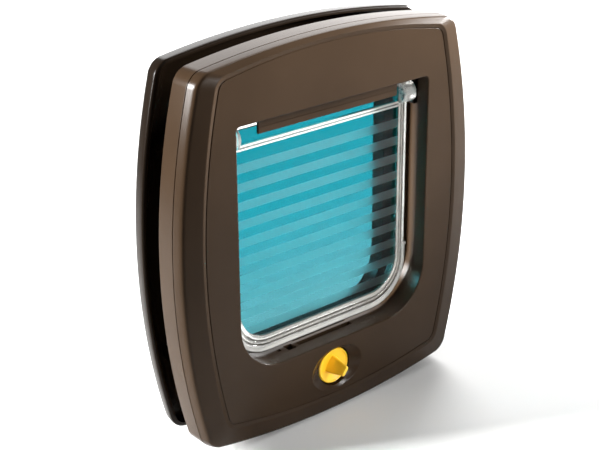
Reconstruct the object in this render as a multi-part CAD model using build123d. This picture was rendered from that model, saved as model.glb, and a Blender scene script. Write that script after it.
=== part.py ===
# Cat flap for a door: framed flap hung from two pins, with a knob that turns stops up into the flap's way.
# Millimetres. X to the right, Y into the door, Z up, seen from the room.
# Origin: middle of the passage, on the face of the door that the front frame lies against.
import os
from math import cos, radians, sin

from build123d import *

# Frames round the passage: margins to the bowed outline
side_margin = 41.1
top_margin = 42.5
frame_side_bow = 16.5
frame_end_bow = 8.8
frame_corner = 12.0

# Border between the outline and the flat front face
border_side = 14.7
border_top = 2.9
border_bottom = 11.6
face_side_bow = 13.5
face_end_bow = 9.0
face_corner = 10.0
groove_width = 1.0
groove_depth = 0.6
groove_margin = 0.6

# Depths, front to back
wall = 2.4
cover_depth = 8.4
base_depth = 13.6
back_plate = 1.8
front_collar = 9.5
door_thickness = 15.6
rear_wall_recess = 1.6
rear_edge = 3.0
rear_crown = 9.4
crown_power = 2.7
crown_steps = 7
edge_round = 0.6
rear_edge_round = 1.6
seam_gap = 0.5
seam_depth = 1.0

# Passage through the frames
passage_half_width = 75.6
passage_top = 78.4
passage_bottom = -78.8
passage_low_radius = 32.0
passage_top_radius = 3.0
passage_edge_round = 0.9
tunnel_relief = 3.4
ledge = 2.0
rear_sill_drop = 5.0
lip_half_length = 55.0
lip_height = 9.9
lip_thickness = 1.8
lip_round = 0.8

# Cover seated on the base
spigot_height = 2.0
spigot_wall = 1.6
seat_clearance = 0.15

# Flap and its draught strip
flap_from_door = 5.8
web_thickness = 1.6
web_above_axis = 4.2
rim_thickness = 3.0
rim_width = 7.2
rim_foot = 9.6
rim_groove = 0.8
strip_reach = 2.3
strip_root = 1.2
strip_blade = 1.4
strip_rise = 38.2
strip_nub = 1.3
strip_gap = 1.3
bar_below_axis = 5.0
bar_height = 3.7
bar_groove = 0.9

# Hinge
axis_below_top = 12.4
ear_radius = 7.0
ear_gap = 0.5
pin_radius = 2.0
running_clearance = 0.05
press_clearance = 0.02
block_height = 17.0
block_depth = 7.6
block_corner = 1.5
block_rib_pitch = 2.4
block_rib_cut = 1.0
block_rib_depth = 0.6
pin_in_flap = 6.0

# Knob, spindle and stops
knob_below_ledge = 19.7
scoop_half_width = 21.2
scoop_half_height = 14.8
scoop_depth = 5.0
well_radius = 13.0
well_edge = 5.4
well_depth = 8.8
well_wall = 1.6
knob_radius = 12.0
knob_below_face = 3.0
knob_rim = 1.1
knob_web = 1.8
knob_gap = 0.7
grip_length = 8.0
grip_root_width = 12.0
grip_root_thickness = 5.6
grip_waist_width = 9.6
grip_waist_thickness = 3.6
grip_tip_width = 6.6
grip_tip_thickness = 2.6
grip_corner = 1.3
grip_round_limit = 0.48
grip_lean = 36.0
shank_radius = 4.5
spindle_radius = 4.0
square_side = 5.0
journal_radius = 3.0
stop_rise = 8.1
stop_room = 0.8
stop_hub = 7.0
front_stop_thickness = 1.6
rear_stop_thickness = 1.4
front_stop_gap = 1.0
rear_stop_gap = 0.7
slot_clearance = 0.4
slot_front_room = 1.6
slot_end_room = 1.1
stop_sweep = 160.0
stop_quarter = 90.0
peg_hole = 6.2
peg_hole_from_slot = 3.0
peg_hole_depth = 7.2
sill_notch = 2.6
sill_notch_from_slot = 15.5

# Screws that draw the two frames together through the door
screw_from_side = 20.4
screw_from_top = 16.4
screw_from_bottom = 6.8
screw_radius = 1.75
screw_head_radius = 3.6
screw_head_height = 2.4
screw_boss_radius = 5.0
screw_boss_height = 3.2
screw_clearance = 0.25
screw_grip = 7.5
screw_recess = 1.2
thread_clearance = 0.05

# Half-width of the band in which an edge counts as lying in a plane
edge_search = 0.01

# Places worked out from the sizes above
y_seam = -base_depth
y_face = y_seam - cover_depth
y_rear = door_thickness
y_rear_edge = y_rear + rear_edge
y_rear_face = y_rear_edge + rear_crown
frame_half_width = passage_half_width + side_margin
frame_top = passage_top + top_margin
knob_z = passage_bottom - knob_below_ledge
stop_radius = knob_below_ledge + stop_rise
frame_bottom = knob_z - stop_radius - stop_room - wall
axis_z = passage_top - axis_below_top
flap_y = -flap_from_door
rim_front = flap_y - rim_thickness / 2
rim_back = flap_y + rim_thickness / 2
strip_half_width = passage_half_width - strip_gap
flap_half_width = strip_half_width - strip_reach
flap_bottom = passage_bottom + strip_gap + strip_reach
flap_radius = passage_low_radius - strip_gap - strip_reach
strip_start = flap_bottom + strip_rise
tunnel_half_width = passage_half_width + tunnel_relief
front_stop_back = rim_front - front_stop_gap
front_stop_front = front_stop_back - front_stop_thickness
rear_stop_front = rim_back + rear_stop_gap
rear_stop_back = rear_stop_front + rear_stop_thickness
scoop_sphere = (scoop_half_height ** 2 + scoop_depth ** 2) / (2 * scoop_depth)
well_floor = y_face + well_depth
well_sag = well_depth - well_edge
well_sphere = (well_radius ** 2 + well_sag ** 2) / (2 * well_sag)
slot_half_length = (stop_radius ** 2 - (knob_below_ledge - ledge) ** 2) ** 0.5 + slot_end_room
screw_places = [
    (side * (passage_half_width + screw_from_side), z)
    for side in (-1, 1)
    for z in (passage_bottom + screw_from_bottom, passage_top - screw_from_top)
]


def at(y):
    return Plane(origin=(0, y, 0), x_dir=(1, 0, 0), z_dir=(0, -1, 0))


def slab(sketch, y_front, y_back):
    return extrude(at(y_back) * sketch, y_back - y_front)


def block(x_low, x_high, y_low, y_high, z_low, z_high):
    middle = ((x_low + x_high) / 2, (y_low + y_high) / 2, (z_low + z_high) / 2)
    return Pos(*middle) * Box(x_high - x_low, y_high - y_low, z_high - z_low)


def rod(radius, y_front, y_back, x=0.0, z=0.0):
    return slab(Pos(x, z) * Circle(radius), y_front, y_back)


def across(radius, length):
    return Rot(0, 90, 0) * Cylinder(radius, length)


def between(low, high, share):
    return low + (high - low) * share


# Outline whose four sides are arcs; share runs from the outer edge (0) to the flat face (1)
def bowed(share, inset=0.0):
    half_width = frame_half_width - share * border_side - inset
    top = frame_top - share * border_top - inset
    bottom = frame_bottom + share * border_bottom + inset
    middle = (top + bottom) / 2
    corner_x = half_width - between(frame_side_bow, face_side_bow, share)
    rise = between(frame_end_bow, face_end_bow, share)
    low, high = bottom + rise, top - rise
    corners = [(corner_x, low), (corner_x, high), (-corner_x, high), (-corner_x, low)]
    crests = [(half_width, middle), (0, top), (-half_width, middle), (0, bottom)]
    sides = [ThreePointArc(corners[i], crests[i], corners[(i + 1) % 4]) for i in range(4)]
    outline = make_face(sides)
    return fillet(outline.vertices(), between(frame_corner, face_corner, share) - inset)


# Passage outline: nearly square at the top, wide round corners below
def passage(grow=0.0, sink=None):
    half = passage_half_width + grow
    top = passage_top + grow
    bottom = passage_bottom - (grow if sink is None else sink)
    sheet = Pos(0, (top + bottom) / 2) * Rectangle(2 * half, top - bottom)
    sheet = fillet(sheet.vertices().group_by(Axis.Y)[0], passage_low_radius + grow)
    return fillet(sheet.vertices().group_by(Axis.Y)[-1], passage_top_radius + grow)


# Domed body whose shoulder rolls from the outer edge at y_edge to the flat face at y_flat
def crown(y_edge, y_flat, inset=0.0):
    inward = 1 if y_edge > y_flat else -1
    sections = []
    for step in range(crown_steps + 1):
        turn = radians(90 * step / crown_steps)
        share = 1 - cos(turn) ** (2 / crown_power)
        rise = sin(turn) ** (2 / crown_power)
        y = between(y_edge, y_flat + inward * inset, rise)
        sections.append((at(y) * bowed(share, inset)).face())
    return loft(sections)


def save(shape, name):
    export_step(shape, "parts/" + name + ".step")


# Oval scoop in the face, so that fingers reach the knob
def scoop():
    ball = scale(Sphere(scoop_sphere), by=(scoop_half_width / scoop_half_height, 1, 1))
    return Pos(0, y_face + scoop_depth - scoop_sphere, knob_z) * ball


# Ball whose cap is the floor of the knob's well, or a skin inside it
def well_ball(inset):
    return Pos(0, well_floor - well_sphere, knob_z) * Sphere(well_sphere - inset)


# Edges of the passage in the plane of the front face
def mouth_edges(shell):
    flat = shell.edges().filter_by_position(Axis.Y, y_face - edge_search, y_face + edge_search)
    flat = flat.filter_by_position(Axis.X, -passage_half_width - ledge, passage_half_width + ledge)
    return flat.filter_by_position(Axis.Z, passage_bottom - edge_search, passage_top + edge_search)


def front_cover():
    shell = crown(y_seam, y_face)
    y_rebate = y_seam - spigot_height - seat_clearance
    shell -= slab(bowed(0, wall), y_rebate, y_seam) + crown(y_rebate, y_face, wall)
    y_skin = y_face + wall / 2
    shell += slab(passage(ledge), y_skin, y_seam)
    oval = Pos(0, knob_z) * Ellipse(scoop_half_width + ledge, scoop_half_height + ledge)
    shell += slab(oval, y_skin, y_face + scoop_depth + wall)
    shell += rod(well_radius + well_wall, y_skin, well_floor + well_wall, z=knob_z)
    shell -= slab(passage(), y_face - wall, y_seam)
    groove = bowed(1, groove_margin) - bowed(1, groove_margin + groove_width)
    shell -= slab(groove, y_face - wall, y_face + groove_depth)
    shell -= scoop()
    shell -= rod(well_radius, y_face - wall, well_floor, z=knob_z) & well_ball(0)
    shell -= rod(shank_radius + running_clearance, y_face, 0, z=knob_z)
    shell = fillet(mouth_edges(shell), passage_edge_round)
    lip_low, lip_high = passage_top - lip_height, passage_top + ledge / 2
    lip = block(-lip_half_length, lip_half_length, y_seam - lip_thickness, y_seam, lip_low, lip_high)
    lip = fillet(lip.edges().filter_by(Axis.X).group_by(Axis.Z)[0], lip_round)
    return shell + lip


# Rectangular hole down through the sill of the passage
def sill_cut(x_low, x_high, y_low, y_high):
    return block(x_low, x_high, y_low, y_high, passage_bottom - 2 * ledge, passage_bottom + ledge)


def front_base():
    tray = slab(bowed(0), y_seam, 0)
    tray = fillet(tray.edges().group_by(Axis.Y)[-1], edge_round)
    tray -= slab(bowed(0, wall), y_seam, -back_plate)
    tray -= slab(bowed(0, -wall) - bowed(0, seam_depth), y_seam, y_seam + seam_gap)
    spigot_inset = wall + seat_clearance
    spigot_hole = bowed(0, spigot_inset + spigot_wall)
    tray += slab(bowed(0, spigot_inset) - spigot_hole, y_seam - spigot_height, y_seam)
    tray += slab(bowed(0, wall / 2) - spigot_hole, y_seam, y_seam + spigot_height)
    tray += slab(passage(tunnel_relief + wall, ledge), y_seam, -back_plate)
    tray += slab(passage(wall, ledge), -back_plate, front_collar)
    for x, z in screw_places:
        tray += rod(screw_boss_radius, -back_plate - screw_boss_height, -back_plate, x, z)
    tray -= slab(passage(tunnel_relief, 0), y_seam - wall, -back_plate)
    tray -= slab(passage(), -2 * back_plate, front_collar + wall)
    for x, z in screw_places:
        tray -= rod(screw_radius + screw_clearance, y_seam, wall, x, z)
    for y_front, y_back in ((front_stop_front, front_stop_back), (rear_stop_front, rear_stop_back)):
        slot_front, slot_back = y_front - slot_front_room, y_back + slot_clearance
        tray -= sill_cut(-slot_half_length, slot_half_length, slot_front, slot_back)
    peg_x = -slot_half_length - peg_hole_from_slot
    peg_y = y_seam + peg_hole_depth
    tray -= sill_cut(peg_x - peg_hole, peg_x, peg_y - peg_hole, peg_y)
    notch_x = -slot_half_length - sill_notch_from_slot
    tray -= sill_cut(notch_x, notch_x + sill_notch, rim_front - sill_notch, rim_front)
    tray -= rod(journal_radius + running_clearance, -back_plate - wall, wall, z=knob_z)
    bearing = across(pin_radius + running_clearance, 4 * wall)
    for side in (-1, 1):
        tray -= Pos(side * tunnel_half_width, flap_y, axis_z) * bearing
    return tray


def rear_frame():
    shell = slab(bowed(0), y_rear, y_rear_edge)
    shell = fillet(shell.edges().group_by(Axis.Y)[0], rear_edge_round) + crown(y_rear_edge, y_rear_face)
    shell -= slab(bowed(0, wall), y_rear, y_rear_edge) + crown(y_rear_edge, y_rear_face, wall)
    rear_ring = passage(ledge, rear_sill_drop + ledge)
    shell += slab(rear_ring, y_rear + rear_wall_recess, y_rear_face - wall / 2)
    for x, z in screw_places:
        shell += rod(screw_boss_radius, y_rear, y_rear_face - wall / 2, x, z)
    shell -= slab(passage(0, rear_sill_drop), y_rear, y_rear_face + wall)
    pilot_end = y_rear + screw_grip + screw_recess
    for x, z in screw_places:
        shell -= rod(screw_radius + thread_clearance, y_rear - wall, pilot_end, x, z)
    return shell


# Sheet in the flap's outline, from the given top down, grown outwards and lifted off the bottom edge
def flap_sheet(grow, top, lift=0.0):
    bottom = flap_bottom - grow + lift
    half = flap_half_width + grow
    sheet = Pos(0, (top + bottom) / 2) * Rectangle(2 * half, top - bottom)
    return fillet(sheet.vertices().group_by(Axis.Y)[0], flap_radius + grow)


def flap():
    rim_top = axis_z - bar_below_axis
    web = flap_sheet(0, axis_z + web_above_axis)
    panel = slab(web, flap_y - web_thickness / 2, flap_y + web_thickness / 2)
    foot = rim_foot - rim_width
    ring = flap_sheet(0, axis_z) - flap_sheet(-rim_width, axis_z, foot)
    groove = flap_sheet(-(rim_width - rim_groove) / 2, rim_top, foot / 2)
    groove -= flap_sheet(-(rim_width + rim_groove) / 2, rim_top, foot / 2)
    panel += slab(ring, rim_front, rim_back)
    bar = Pos(0, rim_top - bar_height / 2) * Rectangle(2 * flap_half_width - rim_width, bar_height)
    bar_line = Pos(0, rim_top - bar_height / 2) * Rectangle(2 * (flap_half_width - rim_width), bar_groove)
    panel += slab(bar, rim_front, rim_back)
    depth = (rim_thickness - web_thickness) / 2
    panel -= slab(groove, rim_front, rim_front + depth)
    panel -= slab(bar_line, rim_front, rim_front + depth)
    for side in (-1, 1):
        inner = flap_half_width - rim_width
        outer = passage_half_width - ear_gap
        panel += Pos(side * (inner + outer) / 2, flap_y, axis_z) * across(ear_radius, outer - inner)
        socket = across(pin_radius + press_clearance, pin_in_flap)
        panel -= Pos(side * (outer - pin_in_flap / 2), flap_y, axis_z) * socket
    return panel


def flap_strip():
    side = 4 * frame_half_width
    below = Pos(0, strip_start - side / 2) * Rectangle(side, side)
    root = (flap_sheet(strip_root, axis_z) - flap_sheet(0, axis_z)) & below
    blade = (flap_sheet(strip_reach, axis_z) - flap_sheet(0, axis_z)) & below
    strip = slab(root, rim_front, rim_back)
    strip += slab(blade, flap_y - strip_blade / 2, flap_y + strip_blade / 2)
    for side in (-1, 1):
        nub_x = side * (flap_half_width + strip_reach / 2)
        strip += rod(strip_reach / 2, rim_front, rim_back, nub_x, strip_start - strip_nub)
    return strip


def hinge_pin(side):
    outer = tunnel_half_width + wall
    inner = passage_half_width - ear_gap - pin_in_flap
    return Pos(side * (outer + inner) / 2, flap_y, axis_z) * across(pin_radius, outer - inner)


def hinge_block(side):
    outline = Pos(flap_y, axis_z) * RectangleRounded(block_depth, block_height, block_corner)
    thickness = tunnel_half_width - passage_half_width
    body = extrude(Plane.YZ * outline, thickness)
    body -= Pos(thickness / 2, flap_y, axis_z) * across(pin_radius + running_clearance, 2 * thickness)
    front = flap_y - block_depth / 2
    for step in range(int(block_height / block_rib_pitch)):
        z = axis_z - block_height / 2 + (step + 1) * block_rib_pitch
        body -= block(-thickness, 2 * thickness, front - wall, front + block_rib_depth, z - block_rib_cut, z)
    body = Pos(passage_half_width, 0, 0) * body
    return body if side > 0 else mirror(body, Plane.YZ)


def stop_lobe(start, y_front, y_back):
    sector = make_face([
        Line((0, 0), (stop_radius, 0)),
        CenterArc((0, 0), stop_radius, 0, stop_sweep),
        PolarLine((0, 0), stop_radius, stop_sweep),
    ])
    plate = Rot(0, 0, start) * sector + Circle(stop_hub)
    return slab(Pos(0, knob_z) * plate, y_front, y_back)


def stop_spindle():
    front_start = stop_quarter + (3 * stop_quarter - stop_sweep) / 2
    rear_start = front_start + stop_quarter
    shaft = rod(spindle_radius, front_stop_back, rear_stop_front, z=knob_z)
    shaft += stop_lobe(front_start, front_stop_front, front_stop_back)
    shaft += stop_lobe(rear_start, rear_stop_front, rear_stop_back)
    shaft += rod(journal_radius, rear_stop_back, 0, z=knob_z)
    shaft += slab(Pos(0, knob_z) * Rectangle(square_side, square_side), well_floor, front_stop_front)
    return shaft


def knob():
    knob_front = y_face + knob_below_face
    skin = well_ball(knob_gap)
    body = (rod(knob_radius, knob_front, well_floor, z=knob_z) & skin) - well_ball(knob_gap + knob_web)
    ring = Circle(knob_radius) - Circle(knob_radius - knob_rim)
    body += slab(Pos(0, knob_z) * ring, knob_front, well_floor) & skin
    corner = min(grip_corner, grip_round_limit * grip_tip_thickness)
    y_root = well_floor - knob_gap - knob_web / 2
    stations = [
        (y_root, grip_root_thickness, grip_root_width),
        (y_face, grip_waist_thickness, grip_waist_width),
        (y_face - grip_length, grip_tip_thickness, grip_tip_width),
    ]
    turn = Pos(0, knob_z) * Rot(0, 0, -grip_lean)
    body += loft([(at(y) * turn * RectangleRounded(thick, wide, corner)).face() for y, thick, wide in stations])
    body += rod(shank_radius, y_root, front_stop_front, z=knob_z)
    socket = square_side + 2 * seat_clearance
    body -= slab(Pos(0, knob_z) * Rectangle(socket, socket), well_floor, front_stop_front)
    return body


def frame_screws():
    seat = -back_plate - screw_boss_height
    screws = Part()
    for x, z in screw_places:
        screws += rod(screw_radius, seat, y_rear + screw_grip, x, z)
        screws += rod(screw_head_radius, seat - screw_head_height, seat, x, z)
    return screws


os.makedirs("parts", exist_ok=True)
save(front_cover(), "front_cover")
save(front_base(), "front_base")
save(rear_frame(), "rear_frame")
save(flap(), "flap")
save(flap_strip(), "flap_strip")
for side, word in ((-1, "left"), (1, "right")):
    save(hinge_pin(side), "hinge_pin_" + word)
    save(hinge_block(side), "hinge_block_" + word)
save(stop_spindle(), "stop_spindle")
save(knob(), "knob")
save(frame_screws(), "frame_screws")
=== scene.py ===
from math import atan2, cos, pi, radians, sin

import bmesh
import bpy
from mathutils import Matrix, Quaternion, Vector, geometry


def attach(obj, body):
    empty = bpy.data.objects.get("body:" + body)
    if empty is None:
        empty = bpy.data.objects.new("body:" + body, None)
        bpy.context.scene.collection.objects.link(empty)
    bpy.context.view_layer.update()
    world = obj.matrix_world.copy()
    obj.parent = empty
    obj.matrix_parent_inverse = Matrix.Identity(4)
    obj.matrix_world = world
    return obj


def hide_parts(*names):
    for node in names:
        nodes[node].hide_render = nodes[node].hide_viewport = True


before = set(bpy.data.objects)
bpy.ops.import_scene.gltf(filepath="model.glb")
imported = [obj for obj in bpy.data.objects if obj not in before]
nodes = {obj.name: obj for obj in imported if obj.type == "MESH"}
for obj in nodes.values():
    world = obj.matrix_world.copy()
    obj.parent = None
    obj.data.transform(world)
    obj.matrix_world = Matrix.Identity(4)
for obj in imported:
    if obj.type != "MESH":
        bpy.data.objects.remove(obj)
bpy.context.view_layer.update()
print("frame loaded:", len(nodes), "nodes")

# Sizes in the dictionaries are millimetres, in the frame of the part: X right, Y through the door, Z up
mm = 0.001
mergeWithin = 0.002   # points closer than this become one
past = 1.0            # how far a cutter runs past the piece it cuts
sharpAngle = 34.0     # degrees: edges that turn further stay sharp


# Edit helpers

def between(low, high, share):
    return low + (high - low) * share


def deselectAll():
    if bpy.context.mode != "OBJECT":
        bpy.ops.object.mode_set(mode="OBJECT")
    bpy.ops.object.select_all(action="DESELECT")


def pick(piece):
    deselectAll()
    piece.select_set(True)
    bpy.context.view_layer.objects.active = piece


# A closed ring is extruded from station to station; each vertex keeps its place in the ring
def raiseRings(name, rings, joined=False):
    deselectAll()
    bpy.ops.mesh.primitive_circle_add(vertices=len(rings[0]), radius=mm)
    piece = bpy.context.object
    piece.name = piece.data.name = name
    bpy.ops.object.mode_set(mode="EDIT")
    bpy.ops.mesh.select_all(action="SELECT")
    shape = bmesh.from_edit_mesh(piece.data)
    turn = shape.verts.layers.int.new("turn")
    for count, vert in enumerate(shape.verts):
        vert[turn] = count
        vert.co = Vector(rings[0][count]) * mm
    for ring in rings[1:] + rings[:1] * joined:
        bpy.ops.mesh.extrude_region()
        shape = bmesh.from_edit_mesh(piece.data)
        turn = shape.verts.layers.int["turn"]
        for vert in shape.verts:
            if vert.select:
                vert.co = Vector(ring[vert[turn]]) * mm
    bpy.ops.mesh.select_all(action="SELECT")
    bpy.ops.mesh.remove_doubles(threshold=mergeWithin * mm)
    bpy.ops.mesh.select_all(action="DESELECT")
    bpy.ops.mesh.select_mode(type="EDGE")
    bpy.ops.mesh.select_non_manifold(use_multi_face=False, use_non_contiguous=False, use_verts=False)
    bpy.ops.mesh.fill_holes(sides=0)
    bpy.ops.mesh.select_all(action="SELECT")
    bpy.ops.mesh.normals_make_consistent(inside=False)
    bpy.ops.object.mode_set(mode="OBJECT")
    piece.data.attributes.remove(piece.data.attributes["turn"])
    return piece


def roundedBlock(name, low, high, edge=0.0, steps=3):
    deselectAll()
    middle = (Vector(low) + Vector(high)) / 2 * mm
    bpy.ops.mesh.primitive_cube_add(size=1, location=middle, scale=(Vector(high) - Vector(low)) * mm)
    piece = bpy.context.object
    piece.name = piece.data.name = name
    bpy.ops.object.transform_apply(location=True, rotation=True, scale=True)
    if edge:
        bpy.ops.object.mode_set(mode="EDIT")
        bpy.ops.mesh.select_all(action="SELECT")
        bpy.ops.mesh.bevel(offset=edge * mm, segments=steps, affect="EDGES")
        bpy.ops.object.mode_set(mode="OBJECT")
    return piece


# Solid of revolution: the profile gives radius and place along the axis, from one end to the other, and an
# open end becomes one flat face; stretch makes the round an oval
def turned(name, centre, axis, profile, steps=72, stretch=1.0):
    rings = []
    for radius, along in profile:
        ring = []
        for count in range(steps):
            angle = 2 * pi * (count + 0.5) / steps   # half a facet round: no corner lies on another round's
            across, up = stretch * radius * cos(angle), radius * sin(angle)
            if axis == "Y":
                ring.append((centre[0] + across, along, centre[2] + up))
            else:
                ring.append((along, centre[1] + across, centre[2] + up))
        rings.append(ring)
    return raiseRings(name, rings)


# Profile of a rod between two places on its axis, with its ends chamfered by edge
def rod(radius, start, end, edge=0.0):
    inward = edge if end > start else -edge
    side = [(radius, start + inward), (radius, end - inward)]
    return [(radius - edge, start)] + side + [(radius - edge, end)] if edge else side


# Profile of a bowl, from the middle of its floor out to the given radius
def bowl(floorY, ball, radius, count=14):
    away = [radius * step / count for step in range(count + 1)]
    return [(r, floorY - ball + (ball ** 2 - r ** 2) ** 0.5) for r in away]


# Radius of the arc, or the ball, that rises by sag over a chord of twice half
def arcRadius(half, sag):
    return (half ** 2 + sag ** 2) / (2 * sag)


def combine(piece, tool, operation):
    pick(piece)
    change = piece.modifiers.new("combine", "BOOLEAN")
    change.operation = operation
    change.solver = "EXACT"
    change.object = tool
    bpy.ops.object.modifier_apply(modifier=change.name)
    bpy.data.objects.remove(tool)
    return piece


def evenShade(piece):
    pick(piece)
    bpy.ops.object.shade_smooth_by_angle(angle=radians(sharpAngle))
    weigh = piece.modifiers.new("evenShade", "WEIGHTED_NORMAL")
    weigh.keep_sharp = True
    weigh.weight = 100   # large faces stay flat, small ones take up the turn
    bpy.ops.object.modifier_apply(modifier=weigh.name)
    return piece


def hangOn(piece, body, slot, finish, *cadNodes):
    if finish:
        piece.data.materials.clear()
        piece.data.materials.append(finish)
    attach(piece, body)
    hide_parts(*cadNodes)
    return piece


# Places where pieces meet, and sizes that several of them share

meet = {
    "seam": -13.6,              # between cover and base
    "face": -22.0,              # flat front of the cover
    "wall": 2.4,                # thickness of the frames
    "ledge": 2.0,               # thickness of their walls round the passage
    "pinY": -5.8, "pinZ": 66.0,
    "knobZ": -98.5, "well": 13.0, "wellEdge": 5.4, "wellDepth": 8.8,
    "screwX": 96.0, "screwZ": (-72.0, 62.0),
}


# Finishes: a wire carries a socket, so that shader maths reads as plain arithmetic

class Wire:
    def __init__(self, finish, socket):
        self.finish = finish
        self.socket = socket

    def maths(self, operation, first, second=0.0):
        return self.finish.node("ShaderNodeMath", {"operation": operation}, {0: first, 1: second})

    def __add__(self, other):
        return self.maths("ADD", self, other)

    def __radd__(self, other):
        return self.maths("ADD", other, self)

    def __sub__(self, other):
        return self.maths("SUBTRACT", self, other)

    def __rsub__(self, other):
        return self.maths("SUBTRACT", other, self)

    def __mul__(self, other):
        return self.maths("MULTIPLY", self, other)

    def __rmul__(self, other):
        return self.maths("MULTIPLY", other, self)

    def __truediv__(self, other):
        return self.maths("DIVIDE", self, other)

    def __rtruediv__(self, other):
        return self.maths("DIVIDE", other, self)

    def cosine(self):
        return self.maths("COSINE", self)

    def size(self):
        return self.maths("ABSOLUTE", self)

    # 0 below low, 1 above high, eased between
    def ease(self, low, high):
        inputs = {"Value": self, "From Min": low, "From Max": high}
        return self.finish.node("ShaderNodeMapRange", {"interpolation_type": "SMOOTHSTEP"}, inputs)


class Finish:
    def __init__(self, name):
        self.material = bpy.data.materials.new(name)
        self.material.use_nodes = True
        self.tree = self.material.node_tree
        self.shader = self.tree.nodes["Principled BSDF"]

    # Settings go in before the sockets, because some of them change which sockets there are
    def node(self, kind, settings=None, inputs=None, output=0):
        made = self.tree.nodes.new(kind)
        for key, value in (settings or {}).items():
            setattr(made, key, value)
        for key, value in (inputs or {}).items():
            self.plug(made.inputs[key], value)
        return Wire(self, made.outputs[output])

    def plug(self, socket, value):
        if isinstance(value, Wire):
            self.tree.links.new(value.socket, socket)
        else:
            socket.default_value = value

    def place(self):
        return self.node("ShaderNodeTexCoord", output="Object")

    # Place along X, Y or Z, in millimetres
    def along(self, axis):
        return self.node("ShaderNodeSeparateXYZ", None, {0: self.place()}, axis) / mm

    # Scale is in waves per metre
    def noise(self, scale, detail=2.0, roughness=0.5):
        inputs = {"Vector": self.place(), "Scale": scale, "Detail": detail, "Roughness": roughness}
        return self.node("ShaderNodeTexNoise", None, inputs)

    def blend(self, share, first, second):
        return self.node("ShaderNodeMix", {"data_type": "RGBA"}, {0: share, 6: first, 7: second}, 2)

    def bump(self, height, strength, distance):
        inputs = {"Height": height, "Strength": strength, "Distance": distance}
        return self.node("ShaderNodeBump", None, inputs)

    # A second surface shows over the first by the given share
    def veil(self, share, sockets):
        film = self.node("ShaderNodeBsdfPrincipled", None, sockets)
        body = Wire(self, self.shader.outputs[0])
        both = self.node("ShaderNodeMixShader", None, {0: share, 1: body, 2: film})
        self.plug(self.tree.nodes["Material Output"].inputs["Surface"], both)

    def paint(self, sockets):
        for key, value in sockets.items():
            self.plug(self.shader.inputs[key], value)
        return self.material


def rgb(red, green, blue):
    return (red, green, blue, 1.0)


brownLook = {
    "deep": rgb(0.0235, 0.0136, 0.0071),
    "warm": rgb(0.0315, 0.0186, 0.0101),
    "flowScale": 9.0,           # soft cloud of pigment
    "flowDetail": 3.0,
    "flowRoughness": 0.55,
    "flowEdge": (0.3, 0.7),
    "grainScale": 1900.0,       # fine mould texture
    "grainStrength": 0.25,
    "grainDepth": 0.00004,      # metres, here and in the other finishes
    "roughness": 0.19,
    "roughnessFlow": 0.06,
    "roughnessGrain": 0.06,
    "shine": 0.10,
}


def brownPlastic(name, look, darker=1.0):
    finish = Finish(name)
    flow = finish.noise(look["flowScale"], look["flowDetail"], look["flowRoughness"])
    grain = finish.noise(look["grainScale"])
    deep = rgb(*(channel * darker for channel in look["deep"][:3]))
    warm = rgb(*(channel * darker for channel in look["warm"][:3]))
    rough = look["roughness"] + look["roughnessFlow"] * (flow - 0.5) + look["roughnessGrain"] * grain
    return finish.paint({
        "Base Color": finish.blend(flow.ease(*look["flowEdge"]), deep, warm),
        "Roughness": rough,
        "Normal": finish.bump(grain, look["grainStrength"], look["grainDepth"]),
        "Specular IOR Level": look["shine"],
    })


yellowLook = {
    "core": rgb(0.92, 0.56, 0.024),
    "edge": rgb(0.92, 0.575, 0.031),
    "flowScale": 60.0,
    "flowDetail": 3.0,
    "flowEdge": (0.35, 0.75),
    "grainScale": 1500.0,
    "grainStrength": 0.3,
    "grainDepth": 0.00005,
    "roughness": 0.34,
    "roughnessGrain": 0.12,
    "glow": 0.15,               # share of the light that wanders in the plastic
    "glowReach": 0.002,
}


def yellowPlastic(look):
    finish = Finish("yellowPlastic")
    flow = finish.noise(look["flowScale"], look["flowDetail"])
    grain = finish.noise(look["grainScale"])
    return finish.paint({
        "Base Color": finish.blend(flow.ease(*look["flowEdge"]), look["core"], look["edge"]),
        "Roughness": look["roughness"] + look["roughnessGrain"] * (grain - 0.5),
        "Normal": finish.bump(grain, look["grainStrength"], look["grainDepth"]),
        "Subsurface Weight": look["glow"],
        "Subsurface Scale": look["glowReach"],
    })


webLook = {
    "clearHigh": rgb(0.002, 0.146, 0.186),   # tint of the clear rows, high on the panel
    "clearLow": rgb(0.045, 0.166, 0.190),    # and low on it
    "frost": rgb(0.001, 0.150, 0.181),
    "haze": rgb(0.80, 0.82, 0.80),           # light that the frosting throws back
    "hazeShare": 0.042,
    "hazeRoughness": 0.6,
    "firstRow": 46.7,           # middle of the highest frosted row
    "pitch": 11.7,
    "rowsEnd": (52.5, 52.9),    # no rows above this height
    "frontEnds": (-6.0, -5.6),  # and none behind this depth: they lie on the front face only
    "colourEdge": 0.22,         # how softly a row begins, in its colour and in its roughness
    "roughEdge": 0.03,
    "fade": (-75.0, 25.0),      # the rows lose contrast towards the bottom
    "faded": 0.35,
    "clearRoughness": 0.02,
    "frostRoughness": 0.42,
    "frostGrain": (0.85, 1.15),
    "speckScale": 900.0,
    "speckStrength": 0.15,
    "speckDepth": 0.00005,
    "ior": 1.18,
}


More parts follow.
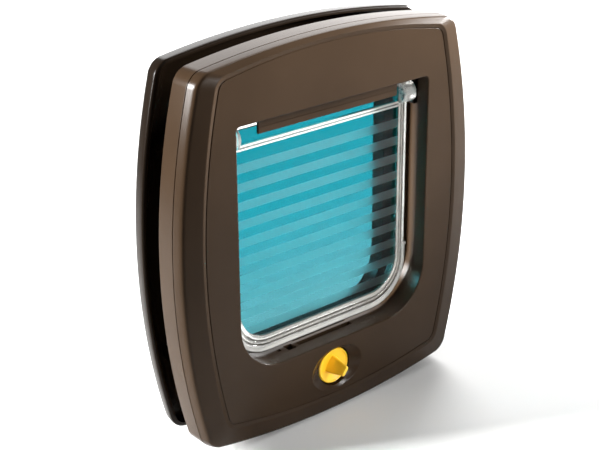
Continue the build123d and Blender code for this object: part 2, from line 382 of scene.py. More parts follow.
def stripedWeb(look):
    finish = Finish("stripedWeb")
    depth, height = finish.along("Y"), finish.along("Z")
    wave = ((height - look["firstRow"]) * (2 * pi / look["pitch"])).cosine()
    frosted = (1 - height.ease(*look["rowsEnd"])) * (1 - depth.ease(*look["frontEnds"]))
    row = wave.ease(-look["colourEdge"], look["colourEdge"]) * frosted
    roughRow = wave.ease(-look["roughEdge"], look["roughEdge"]) * frosted
    fade = height.ease(*look["fade"])
    speck = finish.noise(look["speckScale"])
    clear = finish.blend(fade, look["clearLow"], look["clearHigh"])
    frosting = row * between(look["faded"], 1.0, fade)
    grain = between(*look["frostGrain"], speck)
    haze = {"Base Color": look["haze"], "Roughness": look["hazeRoughness"]}
    finish.veil(frosting * look["hazeShare"], haze)
    return finish.paint({
        "Base Color": finish.blend(frosting, clear, look["frost"]),
        "Roughness": look["clearRoughness"] + roughRow * look["frostRoughness"] * grain,
        "Normal": finish.bump(row * speck, look["speckStrength"], look["speckDepth"]),
        "Transmission Weight": 1.0,
        "IOR": look["ior"],
    })


clearLook = {
    "bright": rgb(0.90, 0.89, 0.85),
    "milky": rgb(0.78, 0.78, 0.75),
    "paintedChannelShade": rgb(0.140, 0.130, 0.115),       # painted shade in the channels between the beads, standing in for the groove's shadow and the dark frame seen through it
    "channel": (0.95, 1.25),    # distance from the middle of the sheet at which the painted channel shade gives way to the bead
    "flowScale": 45.0,
    "flowDetail": 3.0,
    "flowEdge": (0.3, 0.7),
    "grainScale": 700.0,
    "grainStrength": 0.1,
    "grainDepth": 0.00005,
    "roughness": 0.10,
    "roughnessGrain": 0.10,
    "ior": 1.49,
}


def clearPlastic(name, look, transmission):
    finish = Finish(name)
    flow = finish.noise(look["flowScale"], look["flowDetail"])
    grain = finish.noise(look["grainScale"])
    bead = (finish.along("Y") - meet["pinY"]).size().ease(*look["channel"])
    pale = finish.blend(flow.ease(*look["flowEdge"]), look["milky"], look["bright"])
    return finish.paint({
        # Painted shade: faces near the middle of the sheet, the channel bottoms between the beads among them,
        # take the dark colour
        "Base Color": finish.blend(bead, look["paintedChannelShade"], pale),
        "Roughness": look["roughness"] + look["roughnessGrain"] * grain,
        "Normal": finish.bump(grain, look["grainStrength"], look["grainDepth"]),
        "Transmission Weight": transmission,
        "IOR": look["ior"],
    })


steelLook = {
    "dull": rgb(0.42, 0.42, 0.40),
    "bright": rgb(0.62, 0.62, 0.60),
    "flowScale": 160.0,
    "flowDetail": 4.0,
    "grainScale": 2600.0,
    "grainStrength": 0.2,
    "grainDepth": 0.00003,
    "roughness": 0.28,
    "roughnessFlow": 0.2,
}


def zincSteel(look):
    finish = Finish("zincSteel")
    flow = finish.noise(look["flowScale"], look["flowDetail"])
    grain = finish.noise(look["grainScale"])
    return finish.paint({
        "Base Color": finish.blend(flow, look["dull"], look["bright"]),
        "Roughness": look["roughness"] + look["roughnessFlow"] * flow,
        "Normal": finish.bump(grain, look["grainStrength"], look["grainDepth"]),
        "Metallic": 1.0,
    })


frameFinish = brownPlastic("brownPlastic", brownLook)
darkFinish = brownPlastic("darkPlastic", brownLook, darker=0.25)
knobFinish = yellowPlastic(yellowLook)
webFinish = stripedWeb(webLook)
edgeFinish = clearPlastic("clearRim", clearLook, transmission=0.72)
stripFinish = clearPlastic("clearStrip", clearLook, transmission=0.60)
steelFinish = zincSteel(steelLook)
print("finishes ready")


# Outlines shared by the frames

outline = {
    "halfWidth": 116.7, "top": 120.9, "bottom": -129.5, "sideBow": 16.5, "endBow": 8.8, "corner": 12.0,
    # How far the flat face stands in from the outer edge, and its own bows and corners
    "faceSide": 14.7, "faceTop": 2.9, "faceBottom": 11.6,
    "faceSideBow": 13.5, "faceEndBow": 9.0, "faceCorner": 10.0,
    # Section of the shoulder, from the edge to the face: share of the way in, share of the way up
    "shoulder": (
        (0.0, 0.0), (0.015, 0.14), (0.030, 0.28), (0.046, 0.41), (0.064, 0.53), (0.086, 0.63),
        (0.113, 0.70), (0.146, 0.745), (0.186, 0.772), (0.231, 0.790), (0.299, 0.810), (0.408, 0.840),
        (0.544, 0.877), (0.680, 0.915), (0.816, 0.952), (0.905, 0.976), (0.952, 0.989), (1.0, 1.0),
    ),
    "insideStride": 3,          # the hidden side of a shoulder has every third station
    "edgeFacets": ((1.0, 0.0), (0.3, 0.3), (0.0, 1.0)),   # small round: share inwards, share along the band
    "sideSteps": 24, "cornerSteps": 14,
}
opening = {"half": 75.6, "top": 78.4, "bottom": -78.8, "lowRadius": 32.0, "topRadius": 3.0}


def arcRun(centre, radius, start, end, count):
    turns = [between(start, end, step / count) for step in range(count + 1)]
    return [(centre[0] + radius * cos(turn), centre[1] + radius * sin(turn)) for turn in turns]


def straightRun(first, last, count):
    return [tuple(Vector(first).lerp(Vector(last), step / count)) for step in range(count + 1)]


# Runs round the outline, right side first and anticlockwise; a side gives up its ends to the corners
def ringFrom(runs, y):
    flat = []
    for count, run in enumerate(runs):
        flat += run[1:-1] if count % 2 == 0 else run
    return [(x, y, z) for x, z in flat]


# Outline of four arcs with rounded corners; share runs from the outer edge (0) to the flat face (1)
def bowedRing(share, inset, y):
    half = outline["halfWidth"] - share * outline["faceSide"] - inset
    top = outline["top"] - share * outline["faceTop"] - inset
    bottom = outline["bottom"] + share * outline["faceBottom"] + inset
    middle = (top + bottom) / 2
    sag = between(outline["sideBow"], outline["faceSideBow"], share)
    rise = between(outline["endBow"], outline["faceEndBow"], share)
    radius = between(outline["corner"], outline["faceCorner"], share) - inset
    sideRadius = arcRadius((top - bottom) / 2 - rise, sag)
    endRadius = arcRadius(half - sag, rise)
    sideCentre = Vector((half - sideRadius, middle))
    endCentre = Vector((0, top - endRadius))
    reach, rest = sideRadius - radius, endRadius - radius
    found = geometry.intersect_sphere_sphere_2d(sideCentre, reach, endCentre, rest)
    knuckle = max(found, key=lambda point: point.x + point.y)   # middle of the upper right corner's round
    sideTurn = atan2(knuckle.y - sideCentre.y, knuckle.x - sideCentre.x)
    endTurn = atan2(knuckle.y - endCentre.y, knuckle.x - endCentre.x)
    low = 2 * middle - knuckle.y
    sides, corners = outline["sideSteps"], outline["cornerSteps"]
    runs = [
        arcRun(sideCentre, sideRadius, -sideTurn, sideTurn, sides),
        arcRun(knuckle, radius, sideTurn, endTurn, corners),
        arcRun(endCentre, endRadius, endTurn, pi - endTurn, sides),
        arcRun((-knuckle.x, knuckle.y), radius, pi - endTurn, pi - sideTurn, corners),
        arcRun((-sideCentre.x, middle), sideRadius, pi - sideTurn, pi + sideTurn, sides),
        arcRun((-knuckle.x, low), radius, pi + sideTurn, pi + endTurn, corners),
        arcRun((0, 2 * middle - endCentre.y), endRadius, pi + endTurn, 2 * pi - endTurn, sides),
        arcRun((knuckle.x, low), radius, 2 * pi - endTurn, 2 * pi - sideTurn, corners),
    ]
    return ringFrom(runs, y)


# Passage outline: nearly square above, wide round corners below; sink lets the bottom grow by another amount
def passageRing(grow, y, sink=None):
    half, top = opening["half"] + grow, opening["top"] + grow
    bottom = opening["bottom"] - (grow if sink is None else sink)
    high, low = opening["topRadius"] + grow, opening["lowRadius"] + grow
    sides, corners = outline["sideSteps"], outline["cornerSteps"]
    runs = [
        straightRun((half, bottom + low), (half, top - high), sides),
        arcRun((half - high, top - high), high, 0, pi / 2, corners),
        straightRun((half - high, top), (high - half, top), sides),
        arcRun((high - half, top - high), high, pi / 2, pi, corners),
        straightRun((-half, top - high), (-half, bottom + low), sides),
        arcRun((low - half, bottom + low), low, pi, 3 * pi / 2, corners),
        straightRun((low - half, bottom), (half - low, bottom), sides),
        arcRun((half - low, bottom + low), low, 3 * pi / 2, 2 * pi, corners),
    ]
    return ringFrom(runs, y)


# Small round from a face at y into the outer band, which goes on in the direction of way
def edgeRings(edge, y, way):
    return [bowedRing(0, edge * inward, y + way * edge * along) for inward, along in outline["edgeFacets"]]


# Shoulder that rolls from the outer edge at yEdge to the flat face at yFlat
def crownRings(yEdge, yFlat, inset, every=1):
    stations = outline["shoulder"][::every]
    return [bowedRing(share, inset, between(yEdge, yFlat, rise)) for share, rise in stations]


# Quarter round from a flat at yFlat into the passage wall, which goes on in the direction of inward
def mouthRings(radius, yFlat, inward, count, sink=None):
    rings = []
    for step in range(count + 1):
        turn = pi / 2 * step / count
        grow = radius * (1 - sin(turn))
        y = yFlat + inward * radius * (1 - cos(turn))
        rings.append(passageRing(grow, y, None if sink is None else sink + grow))
    return rings


# Front cover: rolled shell with a fine line round its face, an oval scoop with a well for the knob,
# and a lip over the flap

cover = {
    "edge": 0.3, "rebate": 2.15, "mouthRound": 0.9, "mouthSteps": 7,
    "crest": 0.55, "crestFall": (0.12, 0.5, 0.88),
    "lineMargin": 2.0, "lineWidth": 0.8, "lineDepth": 0.5,
    "lineWall": ((0.0, 0.0), (0.08, 0.8), (0.25, 1.0)),   # in from the side of the line, share of its depth
    "lipHalf": 55.0, "lipLow": 68.5, "lipThick": 1.8, "lipEdge": 0.5, "lipGap": 0.02,
    "lipLineZ": 72.4, "lipLineWidth": 0.5, "lipLineDepth": 0.4,
    "scoopWide": 21.2, "scoopTall": 14.8, "scoopDepth": 5.0, "scoopRim": 0.9, "scoopBack": 1.0,
    # The cutter flares at its rim, which leaves the edge of the scoop rounded: outwards in rims,
    # with the share of the way up to the face, then the height over it
    "flareUnder": ((0.45, 0.55), (0.9, 0.88)), "flareOver": ((1.5, 0.03), (3.0, 0.6)),
    "cutterTop": 3.0, "wellWall": 1.6, "bore": 4.55,
}


def makeScoop(piece, size):
    seam, face, wall, ledge = meet["seam"], meet["face"], meet["wall"], meet["ledge"]
    middle = (0, 0, meet["knobZ"])
    tall, deep, rim = size["scoopTall"], size["scoopDepth"], size["scoopRim"]
    well, wellFloor, wellWall = meet["well"], face + meet["wellDepth"], size["wellWall"]

    # Backing for the scoop and the well
    skin = face + wall / 2
    stretch = (size["scoopWide"] + ledge) / (tall + ledge)
    cup = rod(tall + ledge, skin, face + deep + size["scoopBack"]) + [(0, face + deep + wall)]
    combine(piece, turned("scoopCup", middle, "Y", cup, stretch=stretch), "UNION")
    combine(piece, turned("wellCup", middle, "Y", rod(well + wellWall, skin, wellFloor + wellWall)), "UNION")

    # The hollows themselves
    cutterTop = face - size["cutterTop"]
    profile = bowl(face + deep, arcRadius(tall, deep), tall - rim)
    rimRadius, rimY = profile[-1]
    profile += [(rimRadius + out * rim, between(rimY, face, share)) for out, share in size["flareUnder"]]
    profile += [(rimRadius + out * rim, face - over) for out, over in size["flareOver"]]
    profile += [(0, cutterTop)]
    stretch = size["scoopWide"] / tall
    combine(piece, turned("scoopCutter", middle, "Y", profile, steps=112, stretch=stretch), "DIFFERENCE")
    profile = bowl(wellFloor, arcRadius(well, meet["wellDepth"] - meet["wellEdge"]), well, count=10)
    profile += [(well, cutterTop)]
    combine(piece, turned("wellCutter", middle, "Y", profile, steps=96), "DIFFERENCE")
    bore = rod(size["bore"], face, seam + wall)
    combine(piece, turned("shankBore", middle, "Y", bore, steps=48), "DIFFERENCE")


def makeLip(size):
    half, front = size["lipHalf"], meet["seam"] - size["lipThick"]
    high = (half, meet["seam"] - size["lipGap"], opening["top"] + meet["ledge"] / 2)
    lip = roundedBlock("lip", (-half, front, size["lipLow"]), high, size["lipEdge"])
    cutLow = (-half - past, front - past, size["lipLineZ"])
    cutHigh = (half + past, front + size["lipLineDepth"], size["lipLineZ"] + size["lipLineWidth"])
    return combine(lip, roundedBlock("lipLine", cutLow, cutHigh), "DIFFERENCE")


def makeCover(size):
    seam, face, wall, ledge = meet["seam"], meet["face"], meet["wall"], meet["ledge"]
    margin, width, depth = size["lineMargin"], size["lineWidth"], size["lineDepth"]
    edge, crest, back = size["edge"], size["crest"], face + wall
    rings = edgeRings(edge, seam, -1)[:-1] + crownRings(seam - edge, face - crest, 0)
    # The shoulder ends in a low crest, which falls to the line round the face
    rings += [bowedRing(1, margin * fall, face - crest * (1 - fall)) for fall in size["crestFall"]]
    lineWall = size["lineWall"]
    rings += [bowedRing(1, margin + inward, face + depth * share) for inward, share in lineWall]
    rings += [bowedRing(1, margin + width - inward, face + depth * share) for inward, share in lineWall[::-1]]
    rings += mouthRings(size["mouthRound"], face, 1, size["mouthSteps"])
    rings += [passageRing(0, seam), passageRing(ledge, seam), passageRing(ledge, back)]
    rings += crownRings(seam - size["rebate"], back, wall, outline["insideStride"])[::-1]
    rings += [bowedRing(0, wall, seam)]
    piece = raiseRings("frontCover", rings, joined=True)
    makeScoop(piece, size)
    combine(piece, makeLip(size), "UNION")
    return evenShade(piece)


hangOn(makeCover(cover), "frame", "brown_plastic", frameFinish, "front_cover")
print("front cover done")


# Front base: straight band behind the cover, back plate, and the tunnel that the flap hangs in

base = {
    "back": 0.0, "plate": 1.8, "edge": 0.6, "collar": 9.5, "chamfer": 0.3, "relief": 3.4,
    "seamGap": 0.5, "seamDepth": 1.0, "seamEdge": 0.3,
    # Holes in the sill: left and right, front and rear
    "sillHoles": (
        ((-22.54, 22.54), (-11.5, -7.9)),     # slots for the two stops
        ((-22.54, 22.54), (-5.2, -1.8)),
        ((-31.74, -25.54), (-12.6, -6.4)),    # peg hole
        ((-38.04, -35.44), (-9.9, -7.3)),     # notch
    ),
    "sillBelow": 4.0, "sillAbove": 2.0,       # reach of their cutters
    "pinBore": 2.05, "journal": 3.05,
    "screwBoss": 5.0, "screwBossHeight": 3.2, "screwBossSink": 0.5, "screwHole": 2.0,
}


def makeBase(size):
    seam, wall, ledge = meet["seam"], meet["wall"], meet["ledge"]
    back, relief, collar, chamfer = size["back"], size["relief"], size["collar"], size["chamfer"]
    lip, plateFront = seam + size["seamGap"], back - size["plate"]
    rings = [bowedRing(0, size["seamDepth"], seam), bowedRing(0, size["seamDepth"], lip)]
    rings += edgeRings(size["seamEdge"], lip, 1) + edgeRings(size["edge"], back, -1)[::-1]
    rings += [
        passageRing(wall, back, ledge),
        passageRing(wall, collar - chamfer, ledge),
        passageRing(wall - chamfer, collar, ledge - chamfer),
        passageRing(chamfer, collar, chamfer),
        passageRing(0, collar - chamfer, 0),
        passageRing(0, plateFront, 0),
        passageRing(relief, plateFront, 0),
        passageRing(relief, seam, 0),
        passageRing(relief + wall, seam, ledge),
        passageRing(relief + wall, plateFront, ledge),
        bowedRing(0, wall, plateFront),
        bowedRing(0, wall, seam),
    ]
    piece = raiseRings("frontBase", rings, joined=True)
    cutLow, cutHigh = opening["bottom"] - size["sillBelow"], opening["bottom"] + size["sillAbove"]
    for (left, right), (near, far) in size["sillHoles"]:
        combine(piece, roundedBlock("sillHole", (left, near, cutLow), (right, far, cutHigh)), "DIFFERENCE")
    outer = opening["half"] + relief + wall
    boss = rod(size["screwBoss"], plateFront - size["screwBossHeight"], plateFront + size["screwBossSink"])
    hole = rod(size["screwHole"], seam, wall)
    for side in (-1, 1):
        bore = rod(size["pinBore"], side * (outer - 2 * wall), side * (outer + wall))
        pin = (0, meet["pinY"], meet["pinZ"])
        combine(piece, turned("pinBore", pin, "X", bore, steps=32), "DIFFERENCE")
        for z in meet["screwZ"]:
            centre = (side * meet["screwX"], 0, z)
            combine(piece, turned("screwBoss", centre, "Y", boss, steps=40), "UNION")
            combine(piece, turned("screwHole", centre, "Y", hole, steps=28), "DIFFERENCE")
    journal = rod(size["journal"], plateFront - wall, wall)
    combine(piece, turned("journal", (0, 0, meet["knobZ"]), "Y", journal, steps=32), "DIFFERENCE")
    return evenShade(piece)


hangOn(makeBase(base), "frame", "brown_plastic", frameFinish, "front_base")
print("front base done")


# Rear frame: flange with a rolled back, open towards the door

rear = {
    "front": 15.6, "edge": 18.6, "face": 28.0, "round": 1.6, "roundSteps": 6, "recess": 1.6, "drop": 5.0,
    "chamfer": 0.3, "mouthRound": 0.9, "mouthSteps": 6,
    "boss": 5.0, "bossSink": 1.2, "pilot": 1.8, "pilotEnd": 24.3,
}


def makeRear(size):
    front, yEdge, face, wall, ledge = size["front"], size["edge"], size["face"], meet["wall"], meet["ledge"]
    soft, drop, chamfer = size["round"], size["drop"], size["chamfer"]
    back, lead = face - wall, front + size["recess"]
    turns = [pi / 2 * step / size["roundSteps"] for step in range(size["roundSteps"] + 1)]
    rings = [bowedRing(0, soft * (1 - sin(turn)), front + soft * (1 - cos(turn))) for turn in turns]
    rings += crownRings(yEdge, face, 0)
    rings += mouthRings(size["mouthRound"], face, -1, size["mouthSteps"], drop)
    rings += [
        passageRing(0, lead + chamfer, drop),
        passageRing(chamfer, lead, drop + chamfer),
        passageRing(ledge - chamfer, lead, drop + ledge - chamfer),
        passageRing(ledge, lead + chamfer, drop + ledge),
        passageRing(ledge, back, drop + ledge),
    ]
    rings += crownRings(yEdge, back, wall, outline["insideStride"])[::-1]
    rings += [bowedRing(0, wall, front)]
    piece = raiseRings("rearFrame", rings, joined=True)
    boss = rod(size["boss"], front, back + size["bossSink"])
    hole = rod(size["pilot"], front - wall, size["pilotEnd"])
    for side in (-1, 1):
        for z in meet["screwZ"]:
            centre = (side * meet["screwX"], 0, z)
            combine(piece, turned("pillar", centre, "Y", boss, steps=36), "UNION")
            combine(piece, turned("pilot", centre, "Y", hole, steps=24), "DIFFERENCE")
    return evenShade(piece)


hangOn(makeRear(rear), "frame", "dark_plastic", darkFinish, "rear_frame")
print("rear frame done")


# Flap: clear moulded panel with a beaded rim, a beaded bar under the hinge and an ear at each top corner

flap = {
    "half": 72.0, "bottom": -75.2, "radius": 28.4, "cornerSteps": 14, "rimTop": 65.5, "rim": 7.2, "foot": 9.6,
    "web": 1.6, "webTop": 70.2, "webInset": 1.2,
    # Across the rim: outward from its outer edge, and depth from the middle of the sheet
    "bead": (
        (0.0, 1.15), (0.0, -0.75), (-0.15, -1.2), (-0.55, -1.45), (-1.1, -1.5), (-1.65, -1.45), (-2.05, -1.2),
        (-2.25, -0.85), (-2.90, -0.85), (-3.05, -1.05), (-3.45, -1.2), (-3.85, -1.2), (-4.2, -1.05),
        (-4.35, -0.85), (-5.0, -0.85), (-5.15, -1.2), (-5.5, -1.45), (-6.05, -1.5), (-6.6, -1.45),
        (-7.0, -1.2), (-7.2, -0.75), (-7.2, 1.15), (-6.85, 1.5), (-0.35, 1.5),
    ),
    # Across the bar: height from its top, and depth from the middle of the sheet
    "barRows": (
        (0.0, 1.15), (0.0, -0.75), (-0.15, -1.2), (-0.45, -1.45), (-0.8, -1.5), (-1.15, -1.42), (-1.4, -1.15),
        (-1.5, -0.85), (-2.1, -0.85), (-2.2, -1.15), (-2.5, -1.42), (-2.9, -1.5), (-3.3, -1.45),
        (-3.55, -1.2), (-3.7, -0.75), (-3.7, 1.15), (-3.35, 1.5), (-0.35, 1.5),
    ),
    "barHigh": 61.0, "barHeight": 3.7, "barHalf": 66.2,
    # The ears start a hair inside the rim's inner side, so that no two faces lie in one plane
    "earRadius": 7.0, "earInner": 64.79, "earOuter": 75.1, "earEdge": 0.7, "socket": 2.02, "socketDepth": 6.0,
    # How the faces of the sheet are told from the rest; the area is in square millimetres
    "flatness": 0.01, "nearSheet": 0.02, "nearBar": 0.05, "sheetArea": 100.0,
}


# Line down the right side, round the bottom and up the left, grown outwards; the rim is wider at the foot
def flapLine(grow, top, size):
    half, radius, count = size["half"] + grow, size["radius"] + grow, size["cornerSteps"]
    bottom = size["bottom"] - grow + max(-grow, 0) * (size["foot"] / size["rim"] - 1)
    line = [(half, top)]
    line += arcRun((half - radius, bottom + radius), radius, 0, -pi / 2, count)
    line += arcRun((radius - half, bottom + radius), radius, -pi / 2, -pi, count)
    return line + [(-half, top)]


# Section swept along that line
def sweepLine(name, profile, top):
    lines = [flapLine(grow, top, flap) for grow, depth in profile]
    stations = []
    for count in range(len(lines[0])):
        stations.append([
            (line[count][0], meet["pinY"] + depth, line[count][1])
            for line, (grow, depth) in zip(lines, profile)
        ])
    return raiseRings(name, stations)


def makeFlap(size):
    y, web = meet["pinY"], size["web"]
    rim = sweepLine("flap", size["bead"], size["rimTop"])
    sheet = flapLine(-size["webInset"], size["webTop"], size)
    plate = [[(x, depth, z) for x, z in sheet] for depth in (y - web / 2, y + web / 2)]
    combine(rim, raiseRings("web", plate), "UNION")
    rows = [(size["barHigh"] + offset, depth) for offset, depth in size["barRows"]]
    bar = [[(x, y + depth, z) for z, depth in rows] for x in (-size["barHalf"], size["barHalf"])]
    combine(rim, raiseRings("bar", bar), "UNION")
    hinge = (0, y, meet["pinZ"])
    for side in (-1, 1):
        ear = rod(size["earRadius"], side * size["earInner"], side * size["earOuter"], size["earEdge"])
        combine(rim, turned("ear", hinge, "X", ear, steps=48), "UNION")
    for side in (-1, 1):
        outer = side * size["earOuter"]
        socket = rod(size["socket"], outer - side * size["socketDepth"], outer + side * past)
        combine(rim, turned("socket", hinge, "X", socket, steps=32), "DIFFERENCE")
    evenShade(rim)
    paintFlap(rim, size)
    return rim


# Clear rim, bar and ears; the faces of the sheet between them have the rows
def paintFlap(piece, size):
    piece.data.materials.clear()
    piece.data.materials.append(edgeFinish)
    piece.data.materials.append(webFinish)
    barLow = size["barHigh"] - size["barHeight"]
    for face in piece.data.polygons:
        x, y, z = face.center / mm
        flat = abs(abs(face.normal.y) - 1) < size["flatness"]
        onSheet = abs(abs(y - meet["pinY"]) - size["web"] / 2) < size["nearSheet"]
        onBar = barLow - size["nearBar"] < z < size["barHigh"] + size["nearBar"]
        wide = face.area > size["sheetArea"] * mm ** 2
        face.material_index = 1 if flat and onSheet and wide and not onBar else 0


hangOn(makeFlap(flap), "flap", "clear_panel", None, "flap")
print("flap done")


# Draught strip: soft clear blade round the lower part of the flap, ending in a nub on each side

strip = {
    "start": -37.0, "nubDrop": 1.3, "nubRadius": 1.15, "nubOut": 1.15, "nubHalf": 1.5, "nubEdge": 0.4,
    # Across the blade: outward from the flap's edge, and depth from the middle of the sheet
    "blade": (
        (-1.5, 1.3), (-1.5, -1.3), (-1.2, -1.6), (0.7, -1.6), (1.05, -1.3), (1.2, -0.72), (2.05, -0.62),
        (2.3, -0.3), (2.3, 0.3), (2.05, 0.62), (1.2, 0.72), (1.05, 1.3), (0.7, 1.6), (-1.2, 1.6),
    ),
}


def makeStrip(size):
    piece = sweepLine("flapStrip", size["blade"], size["start"])
    front, back = meet["pinY"] - size["nubHalf"], meet["pinY"] + size["nubHalf"]
    nub = rod(size["nubRadius"], front, back, size["nubEdge"])
    for side in (-1, 1):
        centre = (side * (flap["half"] + size["nubOut"]), 0, size["start"] - size["nubDrop"])
        combine(piece, turned("nub", centre, "Y", nub, steps=28), "UNION")
    return evenShade(piece)


hangOn(makeStrip(strip), "flap", "clear_seal", stripFinish, "flap_strip")
print("draught strip done")


# Knob: saucer sunk in the well, with a thin bright rim and a flared fin to turn it by

knob = {
    "gap": 0.7, "web": 1.8, "radius": 12.0, "rim": 1.1, "below": 3.0,
    # Across the rim: out from its inside, and back from its front
    "rimSection": ((0.05, 0.4), (0.3, 0.1), (0.55, 0.0), (0.8, 0.1), (1.1, 0.4)),
    "underside": (0.0, 2.0, 4.0, 6.0),        # stations in from the edge
    "shank": 4.5, "shankEnd": -9.9, "socket": 2.65,
    # Fin: height above the face, thickness, width
    "fin": ((-7.2, 5.6, 12.0), (0.0, 3.6, 9.6), (8.0, 2.6, 6.6)),
    "finCorner": 1.2, "finCornerSteps": 6, "finSteps": 14, "finTip": 0.9, "finTipSteps": 5,
    "lean": 36.0,               # degrees
}


# Smooth curve through three points
def curve(points, at):
    total = 0.0
    for here, (place, value) in enumerate(points):
        weight = value
        for other, (elsewhere, _) in enumerate(points):
            if other != here:
                weight *= (at - elsewhere) / (place - elsewhere)
        total += weight
    return total


# Rounded rectangle across the fin, leaning to the right at its top
def finRing(thick, wide, corner, y, size):
    reach, tall = thick / 2 - corner, wide / 2 - corner
    flat = []
    for count, (x, z) in enumerate(((reach, tall), (-reach, tall), (-reach, -tall), (reach, -tall))):
        flat += arcRun((x, z), corner, count * pi / 2, (count + 1) * pi / 2, size["finCornerSteps"])
    lean, middle = radians(size["lean"]), meet["knobZ"]
    return [(x * cos(lean) + z * sin(lean), y, middle - x * sin(lean) + z * cos(lean)) for x, z in flat]


def makeFin(size):
    low, high, tip = size["fin"][0][0], size["fin"][-1][0], size["finTip"]
    count, tipCount = size["finSteps"], size["finTipSteps"]
    # Height and inset of each ring: straight up the fin, then over its rounded end
    stations = [(between(low, high - tip, step / count), 0.0) for step in range(count + 1)]
    turns = [pi / 2 * step / tipCount for step in range(1, tipCount + 1)]
    stations += [(high - tip + tip * sin(turn), tip * (1 - cos(turn))) for turn in turns]
    thickness = [(height, thick) for height, thick, wide in size["fin"]]
    width = [(height, wide) for height, thick, wide in size["fin"]]
    rings = []
    for height, inset in stations:
        thick, wide = curve(thickness, height) - 2 * inset, curve(width, height) - 2 * inset
        rings.append(finRing(thick, wide, size["finCorner"] - inset, meet["face"] - height, size))
    return raiseRings("fin", rings)


def makeKnob(size):
    face, z, radius, shank = meet["face"], meet["knobZ"], size["radius"], size["shank"]
    ball = arcRadius(meet["well"], meet["wellDepth"] - meet["wellEdge"])
    wellFloor = face + meet["wellDepth"]
    centreY = wellFloor - ball
    outerBall, innerBall = ball - size["gap"], ball - size["gap"] - size["web"]
    inside, rimFront = radius - size["rim"], face + size["below"]
    profile = bowl(centreY + innerBall, innerBall, inside)
    profile += [(inside + out, rimFront + drop) for out, drop in size["rimSection"]]
    under = [radius - inward for inward in size["underside"]] + [shank]
    profile += [(away, centreY + (outerBall ** 2 - away ** 2) ** 0.5) for away in under]
    profile += [(shank, size["shankEnd"]), (0, size["shankEnd"])]
    piece = turned("knob", (0, 0, z), "Y", profile, steps=96)
    combine(piece, makeFin(size), "UNION")
    socket = size["socket"]
    high = (socket, size["shankEnd"] + past, z + socket)
    combine(piece, roundedBlock("socket", (-socket, wellFloor, z - socket), high), "DIFFERENCE")
    return evenShade(piece)


hangOn(makeKnob(knob), "stop_knob", "yellow_plastic", knobFinish, "knob")
print("knob done")


# Hinge blocks: dark bearing beside the passage, with grip ribs down its front

hingeBlock = {
    "depth": 7.6, "height": 17.0, "edge": 0.4, "ribPitch": 2.4, "ribCut": 1.0, "ribDepth": 0.6, "ribs": 7,
}


def makeHingeBlock(size, side):
    y, z, half, tall = meet["pinY"], meet["pinZ"], size["depth"] / 2, size["height"] / 2
    inner, outer = side * opening["half"], side * (opening["half"] + base["relief"])
    low = (min(inner, outer), y - half, z - tall)
    high = (max(inner, outer), y + half, z + tall)
    piece = roundedBlock("hingeBlockLeft" if side < 0 else "hingeBlockRight", low, high, size["edge"])
    bore = rod(base["pinBore"], inner - side * past, outer + side * past)
    combine(piece, turned("bore", (0, y, z), "X", bore, steps=32), "DIFFERENCE")
    for count in range(size["ribs"]):
        top = low[2] + (count + 1) * size["ribPitch"]
        cutLow = (low[0] - past, low[1] - past, top - size["ribCut"])
        cutHigh = (high[0] + past, low[1] + size["ribDepth"], top)
        combine(piece, roundedBlock("ribCut", cutLow, cutHigh), "DIFFERENCE")
    return evenShade(piece)


for side, word in ((-1, "left"), (1, "right")):
    hangOn(makeHingeBlock(hingeBlock, side), "frame", "dark_plastic", darkFinish, "hinge_block_" + word)
print("hinge blocks done")


# Pieces that show little keep their solids and get a finish

keptFinishes = {
    "hinge_pin_left": steelFinish, "hinge_pin_right": steelFinish, "frame_screws": steelFinish,
    "stop_spindle": frameFinish,
}
for name, finish in keptFinishes.items():
    nodes[name].data.materials.clear()
    nodes[name].data.materials.append(finish)
print("kept solids finished")


# Stage, light and camera; the stage and the lamps are in metres, watts and degrees

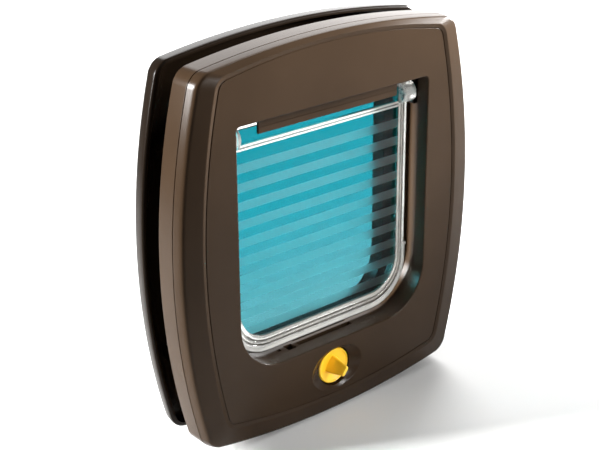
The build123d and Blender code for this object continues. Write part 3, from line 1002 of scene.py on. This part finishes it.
stage = {
    "floor": 6.0, "pale": rgb(0.86, 0.86, 0.85), "paler": rgb(0.88, 0.88, 0.87),
    "flowScale": 3.0, "roughness": 0.7,
}
lamps = {
    "key": {"at": (0.75, -0.19, 0.30), "to": (0.06, -0.02, 0.34), "size": 0.25, "power": 15.4, "spread": 54},
    "fill": {"at": (0.25, -0.70, 0.06), "to": (0.06, 0, 0.03), "size": 0.20, "power": 0.16, "spread": 24},
    "spot": {"at": (0.30, -0.62, 0.25), "to": (0, -0.02, -0.088), "size": 0.12, "power": 0.036, "spread": 16},
    "pool": {"at": (0.52, -0.30, 1.00), "to": (0.52, -0.30, 0), "size": 0.4, "power": 1.1, "spread": 50},
    "back": {"at": (0.90, 1.05, 0.55), "to": (0, 0, 0), "size": 1.2, "power": 13.5, "spread": 180},
    "left": {"at": (-0.93, 0.66, 0.34), "to": (-0.15, 0.22, 0.05), "size": 0.55, "power": 7.2, "spread": 36},
    "top": {"at": (0.75, 0.50, 1.20), "to": (0.75, 0.50, 0), "size": 0.6, "power": 8.8, "spread": 84},
}
sky = {"colour": rgb(1.0, 1.0, 1.0), "strength": 0.30}
eye = {
    "target": (-30.1, -22.0, 7.9), "distance": 803.28, "azimuth": -40.5, "elevation": 22.73, "roll": -0.47,
    "lens": 81.4, "sensor": 36.0,
}


def makeStage():
    deselectAll()
    bpy.ops.mesh.primitive_plane_add(size=stage["floor"], location=(0, 0, outline["bottom"] * mm))
    floor = bpy.context.object
    floor.name = "floor"
    finish = Finish("paleFloor")
    tone = finish.blend(finish.noise(stage["flowScale"]), stage["pale"], stage["paler"])
    floor.data.materials.append(finish.paint({"Base Color": tone, "Roughness": stage["roughness"]}))


def makeLight():
    for name, lamp in lamps.items():
        data = bpy.data.lights.new(name, "AREA")
        data.shape = "SQUARE"
        data.size = lamp["size"]
        data.energy = lamp["power"]
        data.spread = radians(lamp["spread"])
        light = bpy.data.objects.new(name, data)
        bpy.context.scene.collection.objects.link(light)
        light.location = lamp["at"]
        aim = Vector(lamp["to"]) - Vector(lamp["at"])
        light.rotation_euler = aim.to_track_quat("-Z", "Y").to_euler()
    world = bpy.data.worlds.new("studio")
    world.use_nodes = True
    world.node_tree.nodes["Background"].inputs["Color"].default_value = sky["colour"]
    world.node_tree.nodes["Background"].inputs["Strength"].default_value = sky["strength"]
    bpy.context.scene.world = world
    bpy.context.scene.view_settings.view_transform = "Standard"


def makeCamera():
    around, up = radians(eye["azimuth"]), radians(eye["elevation"])
    back = Vector((sin(around) * cos(up), -cos(around) * cos(up), sin(up)))
    data = bpy.data.cameras.new("eye")
    data.lens, data.sensor_width = eye["lens"], eye["sensor"]
    camera = bpy.data.objects.new("eye", data)
    bpy.context.scene.collection.objects.link(camera)
    camera.location = (Vector(eye["target"]) + back * eye["distance"]) * mm
    look = (-back).to_track_quat("-Z", "Y") @ Quaternion((0, 0, 1), radians(eye["roll"]))
    camera.rotation_euler = look.to_euler()
    bpy.context.scene.camera = camera


makeStage()
makeLight()
makeCamera()
print("stage, light and camera ready")
